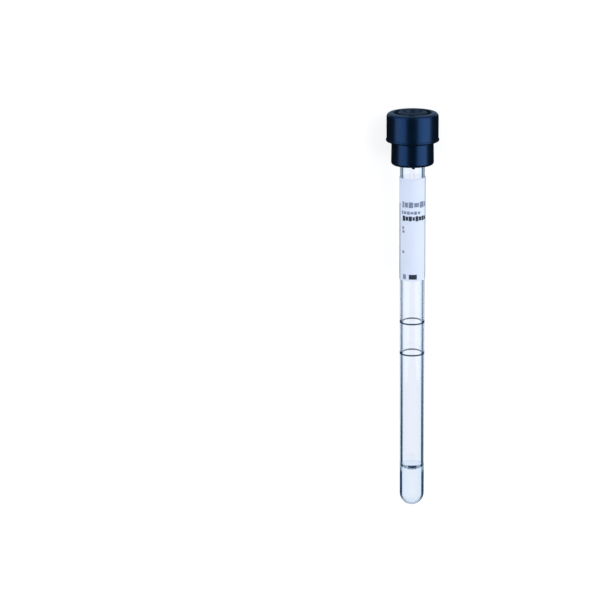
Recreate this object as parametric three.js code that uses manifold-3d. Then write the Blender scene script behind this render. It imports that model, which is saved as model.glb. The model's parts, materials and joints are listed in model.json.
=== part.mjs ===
// Vacuum blood collection tube for sedimentation tests: a round-bottomed glass tube, a rubber
// stopper held in a moulded safety cap, a paper label, two fill lines and a dose of citrate
// solution. Millimetres, +Z up. The tube lies on its side, as it comes to rest: on the bead
// of the cap and on the round end of the glass, with the cap towards +X.
//
// Every piece is drawn in the tube's own frame, with the tube's axis on Z and the outside of
// the round bottom at Z = 0. "Height" always means the distance along that axis.

import * as THREE from "three";
import { mergeVertices } from "three/addons/utils/BufferGeometryUtils.js";
import Module from "manifold-3d";

// Glass tube, nominally 8 x 120 mm.
const glassDiameter = 8;
const glassLength = 120;
const glassWall = 0.8;

// Citrate solution, dosed before the tube was evacuated and sealed.
const liquidHeight = 13.1;
const meniscusRise = 0.7;
const liquidGap = 0.05;

// Fired fill lines, by the height of their middle.
const lowerLineHeight = 52.8;
const upperLineHeight = 63.4;
const lineWidth = 0.4;
const lineThickness = 0.05;

// Paper label, wrapped round the glass so that its two ends nearly meet.
const labelLow = 78;
const labelHeight = 33.8;
const labelThickness = 0.18;
const labelSeam = 0.8;

// Thin film of glue or air under what is stuck on the glass.
const filmGap = 0.03;

// Safety cap: a wide skirt above a narrower collar that hides the mouth of the glass.
const collarOverlap = 4.1;
const collarHeight = 7.65;
const collarClearance = 1.15;
const collarWall = 1.625;
const collarDraft = 0.125;
const collarRimRounding = 0.9;
const collarLeadIn = 0.3;
const skirtHeight = 9.25;
const skirtDiameter = 16.7;
const skirtWall = 1.3;
const skirtRounding = 1.3;
const beadProud = 0.225;
const beadHeight = 0.9;
const beadRounding = 0.45;
const shoulderFillet = 0.5;
const ledgeThickness = 1.3;
const crownPlate = 2.4;
const countersinkWidth = 1.2;
const countersinkDepth = 1.6;

// Ribs inside the skirt that grip the rubber, and the mark that the mould's gate leaves.
const ribCount = 12;
const ribWidth = 0.8;
const ribDepth = 0.725;
const gateDiameter = 0.9;
const gateHeight = 0.35;

// Rubber stopper.
const plugLength = 3.4;
const plugChamfer = 0.35;
const plugRecessDiameter = 3.4;
const plugRecessDepth = 5;
const bossDiameter = 9.4;
const bossRounding = 0.4;
const lipRise = 0.55;
const wellDiameter = 6.7;
const wellFloorDiameter = 5;
const wellDepth = 2.2;
const wellFloorRounding = 0.5;

// Clearances: the plug slides in the bore, the head stands on the mouth of the glass, the
// rubber fits in the plastic, and the boss shows a small gap all round in the crown.
const plugClearance = 0.05;
const seatGap = 0.05;
const rubberGap = 0.1;
const bossGap = 0.3;

// Fineness of round surfaces. The number of sides is a multiple of four, and a side, not a
// corner, faces down.
const sides = 48;
const arcSteps = 4;

const glassRadius = glassDiameter / 2;
const boreRadius = glassRadius - glassWall;
const collarLow = glassLength - collarOverlap;
const shoulderLevel = collarLow + collarHeight;
const crownTopLevel = shoulderLevel + skirtHeight;
const crownUnderside = crownTopLevel - crownPlate;
const ledgeLevel = shoulderLevel + ledgeThickness;
const collarBoreRadius = glassRadius + collarClearance;
const collarTopRadius = collarBoreRadius + collarWall;
const collarRimRadius = collarTopRadius + collarDraft;
const skirtRadius = skirtDiameter / 2;
const skirtBoreRadius = skirtRadius - skirtWall;
const ribCircleRadius = skirtBoreRadius - ribDepth;
const headRadius = ribCircleRadius - rubberGap;
const beadRadius = skirtRadius + beadProud;
const crownHoleRadius = bossDiameter / 2 + bossGap;
const crownFaceRadius = crownHoleRadius + countersinkWidth;

// The side of a regular polygon lies this share of its radius from the middle.
const flatShare = Math.cos(Math.PI / sides);

const materials = {
  glass: new THREE.MeshStandardMaterial({
    color: "#eef4ff", roughness: 0.03, metalness: 0, transparent: true, opacity: 0.35,
  }),
  solution: new THREE.MeshStandardMaterial({
    color: "#e4efff", roughness: 0.02, metalness: 0, transparent: true, opacity: 0.5,
  }),
  enamel: new THREE.MeshStandardMaterial({ color: "#27628a", roughness: 0.35, metalness: 0 }),
  paper: new THREE.MeshStandardMaterial({ color: "#dde6fa", roughness: 0.55, metalness: 0 }),
  plastic: new THREE.MeshStandardMaterial({ color: "#0a0f18", roughness: 0.22, metalness: 0 }),
  rubber: new THREE.MeshStandardMaterial({ color: "#11141c", roughness: 0.5, metalness: 0 }),
};

// An outline of radius and height, revolved about the tube's axis.
function revolved(outline) {
  const geometry = new THREE.LatheGeometry(outline.getPoints(arcSteps), sides, Math.PI / sides);
  geometry.rotateX(Math.PI / 2);
  return geometry;
}

function mesh(name, geometry, material) {
  const piece = new THREE.Mesh(geometry, material);
  piece.name = name;
  return piece;
}

// Round bottom, straight wall and a fire-polished mouth.
function glassTube() {
  const outline = new THREE.Path();
  outline.moveTo(0, 0);
  outline.absarc(0, glassRadius, glassRadius, -Math.PI / 2, 0, false);
  outline.absarc(glassRadius - glassWall / 2, glassLength - glassWall / 2, glassWall / 2, 0, Math.PI, false);
  outline.lineTo(boreRadius, glassRadius);
  outline.absarc(0, glassRadius, boreRadius, 0, -Math.PI / 2, true);
  return mesh("glass_tube", revolved(outline), materials.glass);
}

// Fills the round bottom and climbs the wall a little in its meniscus.
function citrateSolution() {
  const radius = boreRadius - liquidGap;
  const wallLevel = liquidHeight + meniscusRise;
  const outline = new THREE.Path();
  outline.moveTo(0, glassRadius - radius);
  outline.absarc(0, glassRadius, radius, -Math.PI / 2, 0, false);
  outline.lineTo(radius, wallLevel);
  outline.quadraticCurveTo(radius * 0.75, liquidHeight, 0, liquidHeight);
  return mesh("citrate_solution", revolved(outline), materials.solution);
}

function fillLine(name, height) {
  const inner = glassRadius + filmGap;
  const outer = inner + lineThickness;
  const outline = new THREE.Path();
  outline.moveTo(inner, height - lineWidth / 2);
  outline.lineTo(outer, height - lineWidth / 2);
  outline.lineTo(outer, height + lineWidth / 2);
  outline.lineTo(inner, height + lineWidth / 2);
  outline.closePath();
  return mesh(name, revolved(outline), materials.enamel);
}

// A rectangle of paper curled into a split ring. Its seam is on the side that faces down.
function label() {
  const inner = glassRadius + filmGap;
  const outer = inner + labelThickness;
  const halfSeam = labelSeam / 2 / outer;
  const ring = new THREE.Shape();
  ring.absarc(0, 0, outer, halfSeam, 2 * Math.PI - halfSeam, false);
  ring.absarc(0, 0, inner, 2 * Math.PI - halfSeam, halfSeam, true);
  const geometry = new THREE.ExtrudeGeometry(ring, {
    depth: labelHeight, bevelEnabled: false, curveSegments: sides / 2,
  });
  const piece = mesh("label", geometry, materials.paper);
  piece.position.z = labelLow;
  return piece;
}

// Plug in the bore, neck on the mouth of the glass, head behind the cap's ledge, and a boss
// that comes up through the crown with the needle's well in it.
function stopper() {
  const plugRadius = boreRadius - plugClearance;
  const plugLow = glassLength - plugLength;
  const seatLevel = glassLength + seatGap;
  const neckRadius = collarBoreRadius - rubberGap;
  const headLow = ledgeLevel + rubberGap;
  const headTop = crownUnderside - rubberGap;
  const bossRadius = bossDiameter / 2;
  const recessRadius = plugRecessDiameter / 2;
  const recessTop = plugLow + plugRecessDepth;
  const lipLevel = crownTopLevel + lipRise;
  const wellFloor = lipLevel - wellDepth;
  const floorRadius = wellFloorDiameter / 2;

  const outline = new THREE.Path();
  outline.moveTo(0, recessTop);
  outline.absarc(0, recessTop - recessRadius, recessRadius, Math.PI / 2, 0, true);
  outline.lineTo(recessRadius, plugLow);
  outline.lineTo(plugRadius - plugChamfer, plugLow);
  outline.lineTo(plugRadius, plugLow + plugChamfer);
  outline.lineTo(plugRadius, seatLevel);
  outline.lineTo(neckRadius, seatLevel);
  outline.lineTo(neckRadius, headLow);
  outline.lineTo(headRadius, headLow);
  outline.lineTo(headRadius, headTop);
  outline.lineTo(bossRadius, headTop);
  outline.absarc(bossRadius - bossRounding, crownTopLevel - bossRounding, bossRounding, 0, Math.PI / 2, false);
  outline.lineTo(wellDiameter / 2, lipLevel);
  outline.lineTo(floorRadius + wellFloorRounding / 2, wellFloor + wellFloorRounding);
  outline.quadraticCurveTo(floorRadius, wellFloor, floorRadius - wellFloorRounding, wellFloor);
  outline.lineTo(0, wellFloor);
  return mesh("stopper", revolved(outline), materials.rubber);
}

// The cap's section: round the outside from the collar's rim to the crown, then back down
// the inside past the ledge that the stopper's head stands on.
function capShell() {
  const beadTop = shoulderLevel + beadHeight;
  const outline = new THREE.Path();
  outline.moveTo(collarBoreRadius, collarLow + collarLeadIn);
  outline.lineTo(collarBoreRadius + collarLeadIn, collarLow);
  outline.absarc(collarRimRadius - collarRimRounding, collarLow + collarRimRounding, collarRimRounding,
    -Math.PI / 2, 0, false);
  outline.lineTo(collarTopRadius, shoulderLevel - shoulderFillet);
  outline.absarc(collarTopRadius + shoulderFillet, shoulderLevel - shoulderFillet, shoulderFillet,
    Math.PI, Math.PI / 2, true);
  outline.absarc(beadRadius - beadRounding, shoulderLevel + beadRounding, beadRounding,
    -Math.PI / 2, 0, false);
  outline.lineTo(beadRadius, beadTop - beadProud);
  outline.lineTo(skirtRadius, beadTop);
  outline.absarc(skirtRadius - skirtRounding, crownTopLevel - skirtRounding, skirtRounding,
    0, Math.PI / 2, false);
  outline.lineTo(crownFaceRadius, crownTopLevel);
  outline.lineTo(crownHoleRadius, crownTopLevel - countersinkDepth);
  outline.lineTo(crownHoleRadius, crownUnderside);
  outline.lineTo(skirtBoreRadius, crownUnderside);
  outline.lineTo(skirtBoreRadius, ledgeLevel);
  outline.lineTo(collarBoreRadius, ledgeLevel);
  outline.closePath();
  return revolved(outline);
}

// Ribs run from the ledge to the crown and end just clear of the stopper's head.
function capRibs() {
  const inner = ribCircleRadius;
  const outer = skirtRadius - skirtWall / 2;
  const low = (shoulderLevel + ledgeLevel) / 2;
  const high = (crownUnderside + crownTopLevel) / 2;
  return Array.from({ length: ribCount }, (_, index) => {
    const rib = new THREE.BoxGeometry(outer - inner, ribWidth, high - low);
    rib.translate((inner + outer) / 2, 0, (low + high) / 2);
    rib.rotateZ((index + 0.5) * 2 * Math.PI / ribCount);
    return rib;
  });
}

// The gate's stub stands on the collar's rim, on the side that faces up.
function gateStub() {
  const buried = collarRimRounding;
  const stub = new THREE.CylinderGeometry(gateDiameter / 2, gateDiameter / 2, gateHeight + buried, 16);
  stub.rotateX(Math.PI / 2);
  const radius = collarRimRadius - collarRimRounding;
  stub.translate(-radius, 0, collarLow + (buried - gateHeight) / 2);
  return stub;
}

const wasm = await Module();
wasm.setup();

function toSolid(geometry) {
  const bare = geometry.clone();
  bare.deleteAttribute("normal");
  bare.deleteAttribute("uv");
  const merged = mergeVertices(bare, 1e-5);
  return new wasm.Manifold(new wasm.Mesh({
    numProp: 3,
    vertProperties: new Float32Array(merged.attributes.position.array),
    triVerts: new Uint32Array(withoutSlivers(merged.index.array)),
  }));
}

// Triangles that collapse on the axis of a revolved outline have two corners in one vertex.
function withoutSlivers(index) {
  const kept = [];
  for (let i = 0; i < index.length; i += 3) {
    const [a, b, c] = index.slice(i, i + 3);
    if (a !== b && b !== c && c !== a) {
      kept.push(a, b, c);
    }
  }
  return kept;
}

function toGeometry(solid) {
  const { vertProperties, triVerts } = solid.getMesh();
  const geometry = new THREE.BufferGeometry();
  geometry.setAttribute("position", new THREE.BufferAttribute(vertProperties, 3));
  geometry.setIndex(new THREE.BufferAttribute(triVerts, 1));
  geometry.computeVertexNormals();
  return geometry;
}

function safetyCap() {
  const solid = [...capRibs(), gateStub()]
    .reduce((joined, piece) => joined.add(toSolid(piece)), toSolid(capShell()));
  return mesh("safety_cap", toGeometry(solid), materials.plastic);
}

const closure = new THREE.Group();
closure.add(safetyCap(), stopper());

const tube = new THREE.Group();
tube.add(
  glassTube(),
  citrateSolution(),
  fillLine("fill_ring_lower", lowerLineHeight),
  fillLine("fill_ring_upper", upperLineHeight),
  label(),
  closure,
);

// At rest the bead of the cap and the end of the glass's straight wall touch one plane.
const restTilt = Math.atan2(
  (beadRadius - glassRadius) * flatShare,
  shoulderLevel + beadRounding - glassRadius,
);
tube.rotation.y = Math.PI / 2 - restTilt;

// The origin is the middle of the footprint of the whole tube, on the plane it lies on.
const part = new THREE.Group();
part.add(tube);
part.updateMatrixWorld(true);
const bounds = new THREE.Box3().setFromObject(part, true);
tube.position.set(-(bounds.min.x + bounds.max.x) / 2, 0, -bounds.min.z);
part.updateMatrixWorld(true);

export default part;
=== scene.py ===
"""The looks of a glass blood collection tube that lies on a white table.

Everything is in metres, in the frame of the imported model. Each piece is drawn in the tube's own
frame, with the tube's axis on Z and the outside of the round bottom at Z = 0, and is then laid
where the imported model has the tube. MM turns the sizes below, in millimetres, into metres.
"""

import json
import math

import bmesh
import bpy
from mathutils import Matrix, Vector


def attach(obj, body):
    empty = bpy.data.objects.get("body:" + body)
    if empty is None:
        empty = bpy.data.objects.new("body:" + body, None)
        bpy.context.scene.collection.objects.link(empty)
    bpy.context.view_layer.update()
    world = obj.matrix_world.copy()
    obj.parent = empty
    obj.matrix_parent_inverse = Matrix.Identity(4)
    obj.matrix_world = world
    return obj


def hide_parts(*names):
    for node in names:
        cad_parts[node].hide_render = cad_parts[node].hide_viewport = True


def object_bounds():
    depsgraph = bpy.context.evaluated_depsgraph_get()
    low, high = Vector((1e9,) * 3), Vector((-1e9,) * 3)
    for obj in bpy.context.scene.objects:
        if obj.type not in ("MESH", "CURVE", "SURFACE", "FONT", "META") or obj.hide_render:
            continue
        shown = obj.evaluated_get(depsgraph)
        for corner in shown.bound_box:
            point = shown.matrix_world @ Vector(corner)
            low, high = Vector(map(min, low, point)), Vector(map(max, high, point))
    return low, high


MM = 0.001

# Glass tube.
GLASS_RADIUS = 4.0 * MM
GLASS_WALL = 0.8 * MM
GLASS_LENGTH = 120 * MM
BORE_RADIUS = GLASS_RADIUS - GLASS_WALL
MIDDLE_OF_WALL = BORE_RADIUS + GLASS_WALL * 0.45
GLASS_IOR = 1.474

# The tint of the glass at its middle and towards its sides, by how far it faces away, then of its
# dry inside, of its inside round the liquid, and of the lamps' light that goes through it.
GLASS_MIDDLE = (0.87, 0.91, 1.0)
GLASS_SIDE = (0.74, 0.86, 1.0)
GLASS_TINT = ((0.08, GLASS_MIDDLE), (0.3, GLASS_SIDE))
INSIDE_TINT = (0.98, 0.99, 1.0)
WETTED_TINT = (0.93, 0.97, 1.0)
LAMPLIGHT_TINT = (0.94, 0.96, 1.0)

# The dark line of painted shade along each side of the glass, where the glass is dry and round the
# liquid; it stands in for the dark surroundings that the wall's edge shows. Its share is given
# from the middle of the glass, 0, to the silhouette, 1. The dry line drifts inwards along the
# tube, and LINE_HOME is where it has no drift. WET_BLEND is where the dry line turns into the wet
# one, as a share of the meniscus's rise.
DRY_PAINTED_SHADE_LINE = ((0.36, 0), (0.48, 0.5), (0.55, 0.5), (0.67, 0))
WET_PAINTED_SHADE_LINE = ((0.42, 0), (0.52, 0.5), (0.95, 0.55), (1.0, 0.5))
LINE_DRIFT = 0.1
LINE_HOME = 0.35
WET_BLEND = (0.2, 0.8)

# The painted shade line's strength and colour along the tube, from the round end, 0, to the mouth,
# 1. It is paler where the liquid's edge is. The line has its full colour where its share times its
# strength is 1 / LINE_GAIN or more.
LINE_GAIN = 8.0
PAINTED_SHADE_LINE_STRENGTH = ((0.2, 1), (0.32, 0.7), (0.46, 0.4), (0.6, 0.27), (0.92, 0.24), (0.935, 0.36))
PAINTED_SHADE_LINE_DARK = (0.0015, 0.0065, 0.02)
PAINTED_SHADE_LINE_COLOURS = (
    (0.0, GLASS_SIDE), (0.008, (0.6, 0.74, 0.93)), (0.028, PAINTED_SHADE_LINE_DARK), (0.1, PAINTED_SHADE_LINE_DARK),
    (0.107, (0.1, 0.17, 0.26)), (0.117, (0.1, 0.17, 0.26)), (0.124, PAINTED_SHADE_LINE_DARK), (0.2, PAINTED_SHADE_LINE_DARK),
    (0.33, (0.006, 0.018, 0.045)), (0.46, (0.025, 0.055, 0.12)), (0.6, (0.055, 0.1, 0.19)),
    (0.92, (0.08, 0.13, 0.22)), (0.935, (0.01, 0.03, 0.065)),
)

# Citrate solution. Its surface is a bowl that climbs the glass, and BOWL_EDGE is the share of
# the liquid's radius that the bowl takes.
LIQUID_HEIGHT = 12.45 * MM
MENISCUS_RISE = 2.15 * MM
MENISCUS_STEPS = 24
BOWL_EDGE = 0.9999
LIQUID_GAP = 0.01 * MM
LIQUID_IOR = 1.334
LIQUID_TINT = (0.85, 0.93, 1.0)

# How dark the painted shade on the meniscus is by its climb, by how far it is towards the side
# that faces up, and by how far it is to the left or right of that side.
MENISCUS_CLIMB = ((0.04, 0), (0.15, 0.12), (0.3, 0.42), (0.45, 0.68), (0.6, 0.9), (0.72, 1))
MENISCUS_FRONT = ((0.1, 0.06), (0.4, 1))
MENISCUS_ASIDE = ((0.34, 1), (0.46, 0.5), (0.62, 0.4), (0.75, 0.55), (0.9, 0.5), (0.97, 0.3))
# The colour of the painted shade on the meniscus.
MENISCUS_PAINTED_SHADE = (0.014, 0.042, 0.098)

# Fired fill lines.
FILL_LINES = {"fill_ring_lower": 52.8 * MM, "fill_ring_upper": 63.4 * MM}
FILL_LINE_WIDTH = 0.5 * MM
FILL_LINE_THICKNESS = 0.05 * MM
FILL_LINE_ROUNDING = FILL_LINE_THICKNESS * 0.6

# Paper label and what is printed on it.
LABEL_LOW = 78.0 * MM
LABEL_HEIGHT = 33.8 * MM
LABEL_THICKNESS = 0.18 * MM
LABEL_SEAM = 0.8 * MM
FILM_GAP = 0.03 * MM
FILL_LINE_GLUE = FILM_GAP * 0.2
LABEL_GLUE = FILM_GAP * 0.5
LABEL_RADIUS = GLASS_RADIUS + FILM_GAP + LABEL_THICKNESS
INK_THICKNESS = 0.01 * MM

# How far the paper is see-through from inside the glass, and its tint there.
PAPER_SEE_THROUGH = 0.97
PAPER_INSIDE_TINT = (0.965, 0.975, 1.0)

# Print, in millimetres along the tube and degrees round it. Angles run from the side that faces
# up, and grow to the right as the cap's end is at the top. A row of blocks has its ink, the height
# of its middle, how tall it is and its first angle, then the widths of a block, a space, a block
# and so on. BLOCK_HEIGHTS are the shares of a row's height that its blocks take in turn.
PRINT_ROWS = (
    ("pale", 103.3, 2.0, -52, (10, 3, 17, 3, 20, 4, 22, 4, 24, 4, 20, 4, 18)),
    ("pale", 100.7, 1.1, -55, (9, 3, 13, 3, 12, 3, 14, 3, 12, 4, 13)),
    ("dark", 98.8, 1.7, -50, (14, 2, 13, 2, 14, 3, 10, 3, 13, 2, 14, 2, 13, 2, 14)),
)
BLOCK_HEIGHTS = (1, 0.78, 0.92, 0.7)

# Single marks: the height of the middle, how tall it is, and its first and last angle.
PRINT_MARKS = {
    "pale": ((95.7, 0.8, -52, -42), (94.4, 0.8, -52, -40), (87.6, 0.9, -52, -41),
             (79.4, 1.6, -48, -32)),
    "dark": ((79.4, 1.6, -18, 18),),
}

# Bars along the label: low and high end, first and last angle.
LABEL_BARS = ((78.0, 111.8, 70, 81), (78.0, 103.5, -78, -71))

# Inks, and how much lighter an ink is where it is thin.
PALE_INK = (0.16, 0.2, 0.3)
DARK_INK = (0.012, 0.02, 0.045)
BAR_INK = (0.02, 0.03, 0.055)
THIN_INK = 1.6

# Safety cap.
COLLAR_LOW = 115.9 * MM
COLLAR_BORE_RADIUS = 5.15 * MM
COLLAR_LEAD_IN = 0.3 * MM
COLLAR_RIM_RADIUS = 6.9 * MM
COLLAR_RIM_ROUNDING = 0.9 * MM
COLLAR_TOP_RADIUS = 6.775 * MM
SHOULDER = 123.55 * MM
SHOULDER_FILLET = 0.5 * MM
BEAD_RADIUS = 8.575 * MM
BEAD_TOP = 124.45 * MM
BEAD_SLOPE = 0.2 * MM
BEAD_ROUNDING = 0.45 * MM
BEAD_TOP_ROUNDING = 0.12 * MM
SKIRT_RADIUS = 8.35 * MM
SKIRT_BORE_RADIUS = 7.05 * MM
SKIRT_ROUNDING = 1.3 * MM
LEDGE = 124.85 * MM
CROWN_TOP = 132.8 * MM
CROWN_FACE_RADIUS = 6.2 * MM
CROWN_HOLE_RADIUS = 5.0 * MM
CROWN_EDGE_ROUNDING = 0.2 * MM
COUNTERSINK_DEPTH = 1.6 * MM
COUNTERSINK_ROUNDING = 0.1 * MM
CROWN_UNDERSIDE = 130.4 * MM
DULL_FINISH_RADIUS = CROWN_FACE_RADIUS * 0.98
GATE_RADIUS = 0.45 * MM
GATE_FOOT_RADIUS = GATE_RADIUS * 1.15
GATE_HEIGHT = 0.35 * MM
GATE_ROUNDING = 0.12 * MM
GATE_ROOT = 0.2 * MM

# Rubber stopper.
PLUG_LOW = 116.6 * MM
PLUG_RADIUS = 3.15 * MM
PLUG_CHAMFER = 0.35 * MM
PLUG_ROUNDING = 0.15 * MM
PLUG_RECESS_RADIUS = 1.7 * MM
PLUG_RECESS_TOP = 121.6 * MM
PLUG_RECESS_DOME = PLUG_RECESS_RADIUS * 0.98
SEAT = 120.05 * MM
NECK_RADIUS = 5.05 * MM
HEAD_RADIUS = 6.225 * MM
HEAD_LOW = 124.95 * MM
HEAD_TOP = 130.3 * MM
BOSS_RADIUS = 4.7 * MM
BOSS_TOP = 132.8 * MM
BOSS_ROUNDING = 0.4 * MM
LIP_TOP = 133.35 * MM
LIP_ROUNDING = 0.2 * MM
WELL_RADIUS = 3.35 * MM
WELL_FLOOR_RADIUS = 2.5 * MM
WELL_FLOOR = 131.15 * MM
WELL_ROUNDING = 0.5 * MM

# Fineness of round surfaces.
SIDES = 192
ARC_STEP = math.radians(10)
ARC_FINENESS = 1.5
WRAP_STEP = math.radians(1.5)
SHARP_ANGLE = math.radians(35)
ON_AXIS = 1e-7


# ---------------------------------------------------------------- the tube's own frame

def tube_frame(frame):
    """Z along the tube's axis, -X to the side that faces up, the origin at the round end."""
    axis = Vector(frame["joints"][0]["axis"]).normalized()
    corners = [vertex.co for vertex in frame["nodes"]["glass_tube"].data.vertices]
    tip = min(corners, key=axis.dot)
    across = Vector((0, 1, 0))
    turn = Matrix((across.cross(axis), across, axis)).transposed()
    return Matrix.Translation(tip) @ turn.to_4x4()


# ---------------------------------------------------------------- outlines

def rounded(corners):
    """Points of an outline of radius and height. A corner is (radius, height) or
    (radius, height, rounding), and a rounding becomes an arc."""
    points = []
    for index, corner in enumerate(corners):
        here = Vector(corner[:2])
        rounding = corner[2] if len(corner) > 2 else 0
        if not rounding:
            points.append(here)
            continue
        before = Vector(corners[index - 1][:2])
        after = Vector(corners[(index + 1) % len(corners)][:2])
        points.extend(fillet(before, here, after, rounding))
    return points


def fillet(before, here, after, rounding):
    """An arc of the given radius in the corner at here."""
    back = (before - here).normalized()
    ahead = (after - here).normalized()
    half = math.acos(max(-1, min(1, back.dot(ahead)))) / 2
    reach = rounding / math.tan(half)
    centre = here + (back + ahead).normalized() * (rounding / math.sin(half))
    start = here + back * reach - centre
    sweep = math.pi - 2 * half
    turn = 1 if start.x * (here - centre).y > start.y * (here - centre).x else -1
    steps = max(2, round(sweep / ARC_STEP))
    return [
        centre + Matrix.Rotation(turn * sweep * step / steps, 2) @ start
        for step in range(steps + 1)
    ]


def arc(centre, radius, start, end):
    """Points on an arc about a centre of radius and height, from one angle to another."""
    steps = max(2, round(abs(end - start) / ARC_STEP * ARC_FINENESS))
    angles = (start + (end - start) * step / steps for step in range(steps + 1))
    return [
        Vector((centre[0] + radius * math.cos(angle), centre[1] + radius * math.sin(angle)))
        for angle in angles
    ]


# ---------------------------------------------------------------- meshes

def revolve(name, outline, slot_of=None, closed=False):
    """A smooth solid of revolution. Slot_of gives a face's material slot by its middle."""
    mesh = bmesh.new()
    rings = []
    for radius, height in outline:
        if radius < ON_AXIS:
            rings.append([mesh.verts.new((0, 0, height))])
            continue
        rings.append([
            mesh.verts.new((
                radius * math.cos(2 * math.pi * side / SIDES),
                radius * math.sin(2 * math.pi * side / SIDES),
                height,
            ))
            for side in range(SIDES)
        ])
    if closed:
        rings.append(rings[0])
    for low, high in zip(rings, rings[1:]):
        for side in range(SIDES):
            following = (side + 1) % SIDES
            corners = [low[side % len(low)], low[following % len(low)],
                       high[following % len(high)], high[side % len(high)]]
            face = mesh.faces.new(list(dict.fromkeys(corners)))
            if slot_of:
                face.material_index = slot_of(face.calc_center_median())
    bmesh.ops.recalc_face_normals(mesh, faces=mesh.faces)
    return finished(name, mesh)


def finished(name, mesh):
    """A smooth-shaded object from a bmesh, with its sharp edges kept."""
    data = bpy.data.meshes.new(name)
    mesh.to_mesh(data)
    mesh.free()
    data.shade_smooth()
    data.set_sharp_from_angle(angle=SHARP_ANGLE)
    piece = bpy.data.objects.new(name, data)
    bpy.context.scene.collection.objects.link(piece)
    return piece


def place(piece, body, node, slot, *materials):
    """Lays a piece where the tube is, and says what it rides on and stands for."""
    piece.matrix_world = TUBE
    for material in materials:
        piece.data.materials.append(material)
    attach(piece, body)
    if node:
        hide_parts(node)


# ---------------------------------------------------------------- materials

class Nodes:
    """A material's node tree, with short calls to add and join nodes."""

    def __init__(self, name):
        self.material = bpy.data.materials.new(name)
        self.material.use_nodes = True
        self.tree = self.material.node_tree
        self.tree.nodes.clear()
        self.output = self.add("ShaderNodeOutputMaterial")

    def add(self, kind, inputs=None, **settings):
        node = self.tree.nodes.new(kind)
        for key, value in settings.items():
            setattr(node, key, value)
        for key, value in (inputs or {}).items():
            if isinstance(value, bpy.types.NodeSocket):
                self.tree.links.new(value, node.inputs[key])
            else:
                node.inputs[key].default_value = value
        return node

    def math(self, operation, first, second=0.0, third=0.0):
        node = self.add("ShaderNodeMath", {0: first, 1: second, 2: third}, operation=operation)
        return node.outputs[0]

    def ramp(self, factor, stops):
        node = self.add("ShaderNodeValToRGB", {0: factor})
        elements = node.color_ramp.elements
        while len(elements) > 1:
            elements.remove(elements[-1])
        for index, (position, colour) in enumerate(stops):
            element = elements[0] if index == 0 else elements.new(position)
            element.position = position
            element.color = (*colour, 1)
        return node.outputs[0]

    def noise(self, scale, detail, roughness=0.5):
        inputs = {"Scale": scale, "Detail": detail, "Roughness": roughness}
        inputs["Vector"] = self.add("ShaderNodeTexCoord").outputs["Object"]
        return self.add("ShaderNodeTexNoise", inputs).outputs[0]

    def bump(self, height, strength, distance):
        inputs = {"Height": height, "Strength": strength, "Distance": distance}
        return self.add("ShaderNodeBump", inputs).outputs[0]

    def surface(self, socket):
        self.tree.links.new(socket, self.output.inputs["Surface"])
        return self.material


def share_ramp(nodes, factor, stops):
    """A ramp of plain shares, each a position and a value."""
    return nodes.ramp(factor, [(at, (share,) * 3) for at, share in stops])


def lets_lamps_through(nodes, shader):
    """The shader, but clear to the light of the lamps."""
    clear = nodes.add("ShaderNodeBsdfTransparent", {"Color": (*LAMPLIGHT_TINT, 1)})
    lamp = nodes.add("ShaderNodeLightPath").outputs["Is Shadow Ray"]
    return nodes.add("ShaderNodeMixShader", {0: lamp, 1: shader, 2: clear.outputs[0]}).outputs[0]


def unseen_through_glass(nodes, shader, share, colour):
    """The shader, but see-through by a share from inside the glass."""
    through = nodes.add("ShaderNodeBsdfTransparent", {"Color": (*colour, 1)})
    behind_glass = nodes.add("ShaderNodeLightPath").outputs["Is Transmission Ray"]
    unseen = nodes.math("MULTIPLY", behind_glass, share)
    inputs = {0: unseen, 1: shader, 2: through.outputs[0]}
    return nodes.add("ShaderNodeMixShader", inputs).outputs[0]


def glass_material(name, ior, colour):
    nodes = Nodes(name)
    glass = nodes.add("ShaderNodeBsdfPrincipled", {
        "Base Color": (*colour, 1),
        "Roughness": 0.0,
        "IOR": ior,
        "Transmission Weight": 1.0,
    })
    return nodes.surface(lets_lamps_through(nodes, glass.outputs[0]))


def glass_outside_material():
    """The outside of the glass, with a dark line of painted shade along each side, mixed into its
    colour by how far it faces away. The line is wider and nearer to the edge round the liquid."""
    nodes = Nodes("glass_outside")
    facing = nodes.add("ShaderNodeLayerWeight", {"Blend": 0.5}).outputs["Facing"]
    place_on_tube = nodes.add("ShaderNodeTexCoord").outputs["Object"]
    height = nodes.add("ShaderNodeSeparateXYZ", {0: place_on_tube}).outputs["Z"]
    along = nodes.math("DIVIDE", height, GLASS_LENGTH)
    past_home = nodes.math("SUBTRACT", along, LINE_HOME)
    drifted = nodes.math("MULTIPLY_ADD", past_home, LINE_DRIFT, facing)
    wet = nodes.add("ShaderNodeMapRange", {
        "Value": height,
        "From Min": LIQUID_HEIGHT + MENISCUS_RISE * WET_BLEND[1],
        "From Max": LIQUID_HEIGHT + MENISCUS_RISE * WET_BLEND[0],
    }, interpolation_type="SMOOTHSTEP")
    across = nodes.add("ShaderNodeMix", {
        0: wet.outputs[0],
        2: share_ramp(nodes, drifted, DRY_PAINTED_SHADE_LINE),
        3: share_ramp(nodes, facing, WET_PAINTED_SHADE_LINE),
    }, data_type="FLOAT")
    # Painted shade: the dark line's share, mixed below into the glass's own tint.
    shade = nodes.math("MULTIPLY", across.outputs[0], share_ramp(nodes, along, PAINTED_SHADE_LINE_STRENGTH))
    tint = nodes.add("ShaderNodeMix", {
        0: nodes.math("MULTIPLY", shade, LINE_GAIN),
        6: nodes.ramp(facing, GLASS_TINT),
        7: nodes.ramp(along, PAINTED_SHADE_LINE_COLOURS),
    }, data_type="RGBA")
    glass = nodes.add("ShaderNodeBsdfPrincipled", {
        "Base Color": tint.outputs[2],
        "Roughness": 0.0,
        "IOR": GLASS_IOR,
        "Transmission Weight": 1.0,
    })
    return nodes.surface(lets_lamps_through(nodes, glass.outputs[0]))


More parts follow.
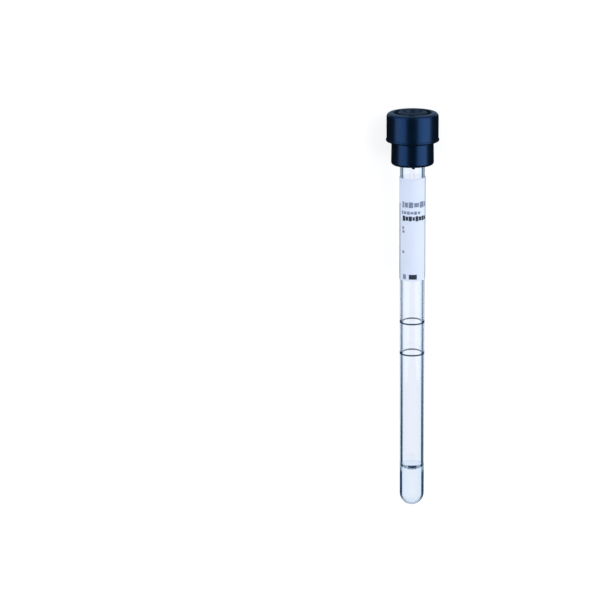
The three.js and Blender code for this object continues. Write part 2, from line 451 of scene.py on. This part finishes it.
def meniscus_material():
    """The bowl of the liquid's surface. Its front, where it climbs the glass, is painted dark: an
    opaque dark shader is mixed in as painted shade where the bowl turns the sight away from the
    white behind the tube."""
    nodes = Nodes("solution_surface")
    place_on_tube = nodes.add("ShaderNodeTexCoord").outputs["Object"]
    axes = nodes.add("ShaderNodeSeparateXYZ", {0: place_on_tube}).outputs
    climb = nodes.math("DIVIDE", nodes.math("SUBTRACT", axes["Z"], LIQUID_HEIGHT), MENISCUS_RISE)
    front = nodes.math("DIVIDE", axes["X"], -BORE_RADIUS)
    aside = nodes.math("DIVIDE", nodes.math("ABSOLUTE", axes["Y"]), BORE_RADIUS)
    shade = nodes.math("MULTIPLY", share_ramp(nodes, climb, MENISCUS_CLIMB),
                       share_ramp(nodes, front, MENISCUS_FRONT))
    shade = nodes.math("MULTIPLY", shade, share_ramp(nodes, aside, MENISCUS_ASIDE))
    surface = nodes.add("ShaderNodeBsdfPrincipled", {
        "Base Color": (*LIQUID_TINT, 1),
        "Roughness": 0.0,
        "IOR": LIQUID_IOR,
        "Transmission Weight": 1.0,
    })
    # Painted shade: an opaque dark surface mixed into the bowl where it climbs.
    dark = nodes.add("ShaderNodeBsdfPrincipled", {
        "Base Color": (*MENISCUS_PAINTED_SHADE, 1),
        "Roughness": 0.3,
        "IOR": LIQUID_IOR,
    })
    inputs = {0: shade, 1: surface.outputs[0], 2: dark.outputs[0]}
    mixed = nodes.add("ShaderNodeMixShader", inputs)
    return nodes.surface(lets_lamps_through(nodes, mixed.outputs[0]))


def unseen_material(name):
    """For a surface that something else stands for."""
    nodes = Nodes(name)
    return nodes.surface(nodes.add("ShaderNodeBsdfTransparent").outputs[0])


def cap_material(name, smoothest, roughest, gloss):
    """Moulded black plastic. Its roughness wanders between two values, as handling leaves it."""
    nodes = Nodes(name)
    grain = nodes.noise(scale=900, detail=4)
    smudge = nodes.noise(scale=160, detail=3)
    tone = nodes.ramp(smudge, [(0.3, (0.0008, 0.0035, 0.008)), (0.75, (0.0012, 0.005, 0.012))])
    plastic = nodes.add("ShaderNodeBsdfPrincipled", {
        "Base Color": tone,
        "Roughness": share_ramp(nodes, smudge, [(0.3, smoothest), (0.75, roughest)]),
        "IOR": 1.5,
        "Specular IOR Level": gloss,
        "Specular Tint": (0.12, 0.36, 1.0, 1),
        "Normal": nodes.bump(grain, strength=0.04, distance=0.02 * MM),
    })
    return nodes.surface(plastic.outputs[0])


def rubber_material():
    """Satin black rubber with a faint bloom."""
    nodes = Nodes("stopper_rubber")
    grain = nodes.noise(scale=2600, detail=6)
    bloom = nodes.noise(scale=220, detail=3)
    tone = nodes.ramp(bloom, [(0.3, (0.002, 0.006, 0.014)), (0.8, (0.005, 0.011, 0.024))])
    rubber = nodes.add("ShaderNodeBsdfPrincipled", {
        "Base Color": tone,
        "Roughness": 0.48,
        "IOR": 1.5,
        "Specular IOR Level": 0.65,
        "Specular Tint": (0.4, 0.6, 1.0, 1),
        "Normal": nodes.bump(grain, strength=0.15, distance=0.03 * MM),
    })
    return nodes.surface(rubber.outputs[0])


def paper_material():
    """Coated paper. Seen through the glass, its inside shows the white that is behind it."""
    nodes = Nodes("label_paper")
    fibre = nodes.noise(scale=1800, detail=5, roughness=0.6)
    cloud = nodes.noise(scale=90, detail=2)
    tone = nodes.ramp(cloud, [(0.3, (0.685, 0.755, 0.925)), (0.7, (0.725, 0.785, 0.945))])
    paper = nodes.add("ShaderNodeBsdfPrincipled", {
        "Base Color": tone,
        "Roughness": 0.5,
        "Specular IOR Level": 0.3,
        "Normal": nodes.bump(fibre, strength=0.12, distance=0.02 * MM),
    })
    mixed = unseen_through_glass(nodes, paper.outputs[0], PAPER_SEE_THROUGH, PAPER_INSIDE_TINT)
    return nodes.surface(mixed)


def ink_material(name, colour):
    """Printer's ink, which doesn't show through the paper from inside the glass."""
    nodes = Nodes(name)
    speckle = nodes.noise(scale=1500, detail=4)
    thin = [part * THIN_INK for part in colour]
    spread = nodes.ramp(speckle, [(0.35, colour), (0.75, thin)])
    ink = nodes.add("ShaderNodeBsdfPrincipled", {"Base Color": spread, "Roughness": 0.55})
    return nodes.surface(unseen_through_glass(nodes, ink.outputs[0], 1.0, (1, 1, 1)))


def enamel_material():
    """Fired blue enamel."""
    nodes = Nodes("fill_enamel")
    speckle = nodes.noise(scale=1200, detail=3)
    tone = nodes.ramp(speckle, [(0.3, (0.003, 0.035, 0.075)), (0.7, (0.005, 0.05, 0.1))])
    enamel = nodes.add("ShaderNodeBsdfPrincipled", {"Base Color": tone, "Roughness": 0.3})
    return nodes.surface(enamel.outputs[0])


# ---------------------------------------------------------------- the pieces

def glass_tube():
    """Its outside, its dry inside and its wetted inside have a material each."""
    lip = GLASS_WALL / 2
    wet_top = LIQUID_HEIGHT + MENISCUS_RISE
    outline = arc((0, GLASS_RADIUS), GLASS_RADIUS, -math.pi / 2, 0)
    outline += arc((GLASS_RADIUS - lip, GLASS_LENGTH - lip), lip, 0, math.pi)
    outline.append(Vector((BORE_RADIUS, wet_top)))
    outline += arc((0, GLASS_RADIUS), BORE_RADIUS, 0, -math.pi / 2)
    outline[0].x = outline[-1].x = 0

    def slot_of(middle):
        outside = Vector((middle.x, middle.y, min(0, middle.z - GLASS_RADIUS))).length
        if outside > MIDDLE_OF_WALL:
            return 0
        return 2 if middle.z < wet_top else 1

    place(
        revolve("glass_body", outline, slot_of=slot_of), "tube", "glass_tube", "glass",
        glass_outside_material(),
        glass_material("glass_inside", GLASS_IOR, INSIDE_TINT),
        glass_material("glass_wetted", GLASS_IOR / LIQUID_IOR, WETTED_TINT),
    )


def citrate_solution():
    """Only its bowl shows. The wetted inside of the glass stands for where the two meet."""
    radius = BORE_RADIUS - LIQUID_GAP
    outline = arc((0, GLASS_RADIUS), radius, -math.pi / 2, 0)
    outline[0].x = 0
    for step in range(MENISCUS_STEPS + 1):
        turn = math.pi / 2 * (1 - step / MENISCUS_STEPS)
        climb = MENISCUS_RISE * (1 - math.cos(turn))
        outline.append(Vector((radius * math.sin(turn), LIQUID_HEIGHT + climb)))
    outline[-1].x = 0

    def slot_of(middle):
        return 0 if middle.z > LIQUID_HEIGHT and middle.xy.length < radius * BOWL_EDGE else 1

    place(
        revolve("citrate_fill", outline, slot_of=slot_of), "tube", "citrate_solution", "solution",
        meniscus_material(),
        unseen_material("solution_side"),
    )


def fill_line(node, height):
    inner = GLASS_RADIUS + FILL_LINE_GLUE
    outer = GLASS_RADIUS + FILM_GAP + FILL_LINE_THICKNESS
    half = FILL_LINE_WIDTH / 2
    corners = [(inner, height - half), (outer, height - half, FILL_LINE_ROUNDING),
               (outer, height + half, FILL_LINE_ROUNDING), (inner, height + half)]
    ring = revolve(node.replace("fill_ring", "fill_line"), rounded(corners), closed=True)
    place(ring, "tube", node, "enamel", ENAMEL)


def wrapped(mesh, low, high, start, end, inner, outer):
    """Adds a closed patch that wraps the tube's axis, with the angles that the print has."""
    count = max(1, math.ceil((end - start) / WRAP_STEP))
    rows = []
    for index in range(count + 1):
        angle = start + (end - start) * index / count
        away = Vector((-math.cos(angle), -math.sin(angle)))
        rows.append([
            mesh.verts.new((*(away * radius), height))
            for radius, height in ((inner, low), (outer, low), (outer, high), (inner, high))
        ])
    for row, following in zip(rows, rows[1:]):
        for corner in range(4):
            after = (corner + 1) % 4
            mesh.faces.new((row[corner], row[after], following[after], following[corner]))
    mesh.faces.new(rows[0])
    mesh.faces.new(rows[-1])


def label():
    mesh = bmesh.new()
    half_seam = LABEL_SEAM / 2 / LABEL_RADIUS
    wrapped(mesh, LABEL_LOW, LABEL_LOW + LABEL_HEIGHT, half_seam - math.pi, math.pi - half_seam,
            GLASS_RADIUS + LABEL_GLUE, LABEL_RADIUS)
    bmesh.ops.recalc_face_normals(mesh, faces=mesh.faces)
    place(finished("label_sheet", mesh), "tube", "label", "label_paper", paper_material())


def printed(name, ink, bars):
    """A piece of print, from bars with a low and high end and a first and last angle."""
    mesh = bmesh.new()
    for low, high, start, end in bars:
        wrapped(mesh, low * MM, high * MM, math.radians(start), math.radians(end),
                LABEL_RADIUS - INK_THICKNESS, LABEL_RADIUS + INK_THICKNESS)
    bmesh.ops.recalc_face_normals(mesh, faces=mesh.faces)
    place(finished(name, mesh), "tube", None, "label_paper", ink)


def label_print():
    """Rows of plain blocks, single marks and bars, in place of the print."""
    marks = {ink: [] for ink in PRINT_MARKS}
    for ink, height, tall, angle, widths in PRINT_ROWS:
        for index, width in enumerate(widths):
            if index % 2 == 0:
                share = BLOCK_HEIGHTS[index // 2 % len(BLOCK_HEIGHTS)]
                marks[ink].append((height, tall * share, angle, angle + width))
            angle += width
    inks = {
        "pale": ink_material("print_pale", PALE_INK),
        "dark": ink_material("print_dark", DARK_INK),
    }
    for ink in marks:
        bars = [
            (height - tall / 2, height + tall / 2, start, end)
            for height, tall, start, end in (*marks[ink], *PRINT_MARKS[ink])
        ]
        printed("label_print_" + ink, inks[ink], bars)
    printed("label_bars", ink_material("print_bar", BAR_INK), LABEL_BARS)


def safety_cap():
    """One moulding, with a duller finish in the crown's countersink."""
    outline = rounded([
        (COLLAR_BORE_RADIUS, COLLAR_LOW + COLLAR_LEAD_IN),
        (COLLAR_BORE_RADIUS + COLLAR_LEAD_IN, COLLAR_LOW),
        (COLLAR_RIM_RADIUS, COLLAR_LOW, COLLAR_RIM_ROUNDING),
        (COLLAR_TOP_RADIUS, SHOULDER, SHOULDER_FILLET),
        (BEAD_RADIUS, SHOULDER, BEAD_ROUNDING),
        (BEAD_RADIUS, BEAD_TOP - BEAD_SLOPE, BEAD_TOP_ROUNDING),
        (SKIRT_RADIUS, BEAD_TOP, BEAD_TOP_ROUNDING),
        (SKIRT_RADIUS, CROWN_TOP, SKIRT_ROUNDING),
        (CROWN_FACE_RADIUS, CROWN_TOP, CROWN_EDGE_ROUNDING),
        (CROWN_HOLE_RADIUS, CROWN_TOP - COUNTERSINK_DEPTH, COUNTERSINK_ROUNDING),
        (CROWN_HOLE_RADIUS, CROWN_UNDERSIDE),
        (SKIRT_BORE_RADIUS, CROWN_UNDERSIDE),
        (SKIRT_BORE_RADIUS, LEDGE),
        (COLLAR_BORE_RADIUS, LEDGE),
    ])

    def slot_of(middle):
        return 1 if middle.z > LEDGE and middle.xy.length < DULL_FINISH_RADIUS else 0

    shell = revolve("cap_shell", outline, slot_of=slot_of, closed=True)
    place(shell, "closure", "safety_cap", "cap_plastic", CAP,
          cap_material("cap_plastic_matte", smoothest=0.55, roughest=0.62, gloss=0.3))
    stub = revolve("cap_gate_stub", rounded([
        (0, GATE_HEIGHT),
        (GATE_RADIUS, GATE_HEIGHT, GATE_ROUNDING),
        (GATE_FOOT_RADIUS, -GATE_ROOT),
        (0, -GATE_ROOT),
    ]))
    on_rim = Matrix.Translation((COLLAR_RIM_ROUNDING - COLLAR_RIM_RADIUS, 0, COLLAR_LOW))
    stub.data.transform(on_rim @ Matrix.Rotation(math.pi, 4, "X"))
    place(stub, "closure", None, "cap_plastic", CAP)


def stopper():
    outline = rounded([
        (0, PLUG_RECESS_TOP),
        (PLUG_RECESS_RADIUS, PLUG_RECESS_TOP, PLUG_RECESS_DOME),
        (PLUG_RECESS_RADIUS, PLUG_LOW, PLUG_ROUNDING),
        (PLUG_RADIUS - PLUG_CHAMFER, PLUG_LOW, PLUG_ROUNDING),
        (PLUG_RADIUS, PLUG_LOW + PLUG_CHAMFER, PLUG_ROUNDING),
        (PLUG_RADIUS, SEAT),
        (NECK_RADIUS, SEAT, PLUG_ROUNDING),
        (NECK_RADIUS, HEAD_LOW),
        (HEAD_RADIUS, HEAD_LOW),
        (HEAD_RADIUS, HEAD_TOP),
        (BOSS_RADIUS, HEAD_TOP),
        (BOSS_RADIUS, BOSS_TOP, BOSS_ROUNDING),
        (WELL_RADIUS, LIP_TOP, LIP_ROUNDING),
        (WELL_FLOOR_RADIUS, WELL_FLOOR, WELL_ROUNDING),
        (0, WELL_FLOOR),
    ])
    rubber = revolve("stopper_rubber", outline)
    place(rubber, "closure", "stopper", "stopper_rubber", rubber_material())


# ---------------------------------------------------------------- camera and stage

CAMERA_DISTANCE = 0.75
CAMERA_LENS = 137.64
CAMERA_SENSOR = 36
CAMERA_LIFT = math.radians(15.39)
CAMERA_AIM = 67.82 * MM
CAMERA_SIDE = 36.63 * MM
CAMERA_RISE = 3.1 * MM
CAMERA_ROLL = math.radians(-0.63)


def add_camera():
    """Looks down on the lying tube, from its cap's side of straight above."""
    data = bpy.data.cameras.new("camera")
    data.lens = CAMERA_LENS
    data.sensor_width = CAMERA_SENSOR
    camera = bpy.data.objects.new("camera", data)
    bpy.context.scene.collection.objects.link(camera)
    up_side = -TUBE.col[0].xyz
    axis = TUBE.col[2].xyz
    back = up_side * math.cos(CAMERA_LIFT) + axis * math.sin(CAMERA_LIFT)
    right = -TUBE.col[1].xyz
    top = back.cross(right)
    turn = Matrix((right, top, back)).transposed().to_4x4()
    eye = TUBE.translation + axis * CAMERA_AIM + back * CAMERA_DISTANCE
    eye += top * CAMERA_RISE - right * CAMERA_SIDE
    camera.matrix_world = Matrix.Translation(eye) @ turn @ Matrix.Rotation(CAMERA_ROLL, 4, "Z")
    bpy.context.scene.camera = camera


SOFTBOX_DISTANCE = 0.5
SOFTBOX_LENGTH = 1.8
SOFTBOX_SPREAD = math.radians(150)
SOFTBOX_SHIFT = 0.7
SOFTBOX_COLOUR = (0.9, 0.95, 1.0)

# Each lamp's angle from straight above in degrees, its width in metres and its power in watts.
SOFTBOXES = ((-52, 0.56, 4.8), (57, 0.5, 3.3))


def add_softboxes():
    """A large soft lamp on each side of the camera, so that two bands lie along the cap."""
    for degrees, width, power in SOFTBOXES:
        angle = math.radians(degrees)
        data = bpy.data.lights.new("softbox", "AREA")
        data.shape = "RECTANGLE"
        data.size = SOFTBOX_LENGTH
        data.size_y = width
        data.energy = power
        data.spread = SOFTBOX_SPREAD
        data.color = SOFTBOX_COLOUR
        lamp = bpy.data.objects.new("softbox", data)
        bpy.context.scene.collection.objects.link(lamp)
        away = Vector((0, math.sin(angle), math.cos(angle)))
        along = Vector((1, 0, 0))
        turn = Matrix((along, away.cross(along), away)).transposed().to_4x4()
        centre = away * SOFTBOX_DISTANCE + along * SOFTBOX_SHIFT
        lamp.matrix_world = Matrix.Translation(centre) @ turn
        lamp.visible_camera = False
        lamp.visible_transmission = False


WORLD_FILL = 0.38
WORLD_REFLECTED = 0.016


def add_world():
    """White to the camera and through glass, dim in reflections, and a soft fill elsewhere."""
    world = bpy.data.worlds.new("world")
    world.use_nodes = True
    bpy.context.scene.world = world
    tree = world.node_tree
    background = tree.nodes["Background"]
    path = tree.nodes.new("ShaderNodeLightPath")
    seen = tree.nodes.new("ShaderNodeMath")
    seen.operation = "MAXIMUM"
    tree.links.new(path.outputs["Is Camera Ray"], seen.inputs[0])
    tree.links.new(path.outputs["Is Transmission Ray"], seen.inputs[1])
    fill = tree.nodes.new("ShaderNodeMix")
    fill.data_type = "FLOAT"
    tree.links.new(path.outputs["Is Glossy Ray"], fill.inputs[0])
    fill.inputs[2].default_value = WORLD_FILL
    fill.inputs[3].default_value = WORLD_REFLECTED
    strength = tree.nodes.new("ShaderNodeMix")
    strength.data_type = "FLOAT"
    tree.links.new(seen.outputs[0], strength.inputs[0])
    tree.links.new(fill.outputs[0], strength.inputs[2])
    strength.inputs[3].default_value = 1.0
    background.inputs["Color"].default_value = (1, 1, 1, 1)
    tree.links.new(strength.outputs[0], background.inputs["Strength"])


FLOOR_HALF = 4
FLOOR_SEGMENTS = 8
FLOOR_MATTE = 0.8
FLOOR_GLOW = 0.7
FLOOR_SHADOW_SHARE = 0.4
FLOOR_REFLECTED = 0.017


def add_floor():
    """A white table. Part of its white is its own glow, which keeps the shadows pale."""
    mesh = bmesh.new()
    bmesh.ops.create_grid(
        mesh, x_segments=FLOOR_SEGMENTS, y_segments=FLOOR_SEGMENTS, size=FLOOR_HALF)
    floor = finished("table", mesh)
    nodes = Nodes("table_white")
    path = nodes.add("ShaderNodeLightPath")

    def diffuse(share):
        return nodes.add("ShaderNodeBsdfDiffuse", {"Color": (share, share, share, 1)}).outputs[0]

    def glow(strength):
        inputs = {"Color": (1, 1, 1, 1), "Strength": strength}
        return nodes.add("ShaderNodeEmission", inputs).outputs[0]

    lit = nodes.add("ShaderNodeAddShader", {0: diffuse(FLOOR_SHADOW_SHARE), 1: glow(FLOOR_GLOW)})
    shown = diffuse(FLOOR_MATTE)
    for ray, seen in (
        ("Is Camera Ray", lit.outputs[0]),
        ("Is Glossy Ray", glow(FLOOR_REFLECTED)),
        ("Is Transmission Ray", glow(1.0)),
    ):
        mixed = nodes.add("ShaderNodeMixShader", {0: path.outputs[ray], 1: shown, 2: seen})
        shown = mixed.outputs[0]
    floor.data.materials.append(nodes.surface(shown))


# Cards on the table, a pair for each row, on both sides of the axis. A row has the near and far
# edge beyond the cap, the inner and outer edge from the axis, in millimetres, and the glow.
CARDS = ((0.5, 14, 1, 20, 0.45), (14, 30, 0, 30, 0.75), (30, 400, 0, 600, 0.5))
CARD_HEIGHT = 0.2 * MM
CARD_COLOUR = (0.5, 0.78, 1)


def add_cards():
    """Pale cards beyond the cap. Only reflections show them, and the crown and the cap's rounded
    rims shine with them."""
    for near, far, inner, outer, strength in CARDS:
        nodes = Nodes("card_pale")
        inputs = {"Color": (*CARD_COLOUR, 1), "Strength": strength}
        pale = nodes.surface(nodes.add("ShaderNodeEmission", inputs).outputs[0])
        for side in (-1, 1):
            mesh = bmesh.new()
            corners = ((near, inner), (far, inner), (far, outer), (near, outer))
            mesh.faces.new([
                mesh.verts.new((cad_high[0] + x * MM, side * y * MM, CARD_HEIGHT))
                for x, y in corners
            ])
            card = finished("card", mesh)
            card.data.materials.append(pale)
            card.visible_camera = False
            card.visible_diffuse = False
            card.visible_transmission = False
            card.visible_shadow = False


# ---------------------------------------------------------------- the scene

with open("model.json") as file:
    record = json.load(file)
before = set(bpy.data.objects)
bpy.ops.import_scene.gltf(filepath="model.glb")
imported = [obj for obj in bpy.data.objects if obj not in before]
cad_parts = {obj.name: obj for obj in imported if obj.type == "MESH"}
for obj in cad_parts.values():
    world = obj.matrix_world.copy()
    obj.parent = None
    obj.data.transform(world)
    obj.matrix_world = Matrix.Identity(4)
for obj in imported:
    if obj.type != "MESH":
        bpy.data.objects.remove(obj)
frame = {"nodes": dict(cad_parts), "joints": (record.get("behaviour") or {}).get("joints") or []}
cad_low, cad_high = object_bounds()
TUBE = tube_frame(frame)
ENAMEL = enamel_material()
CAP = cap_material("cap_plastic", smoothest=0.27, roughest=0.32, gloss=1.0)
add_camera()

glass_tube()
citrate_solution()
for line_node, line_height in FILL_LINES.items():
    fill_line(line_node, line_height)
label()
label_print()
safety_cap()
stopper()

add_softboxes()
add_world()
add_floor()
add_cards()
bpy.context.scene.view_settings.view_transform = "Standard"
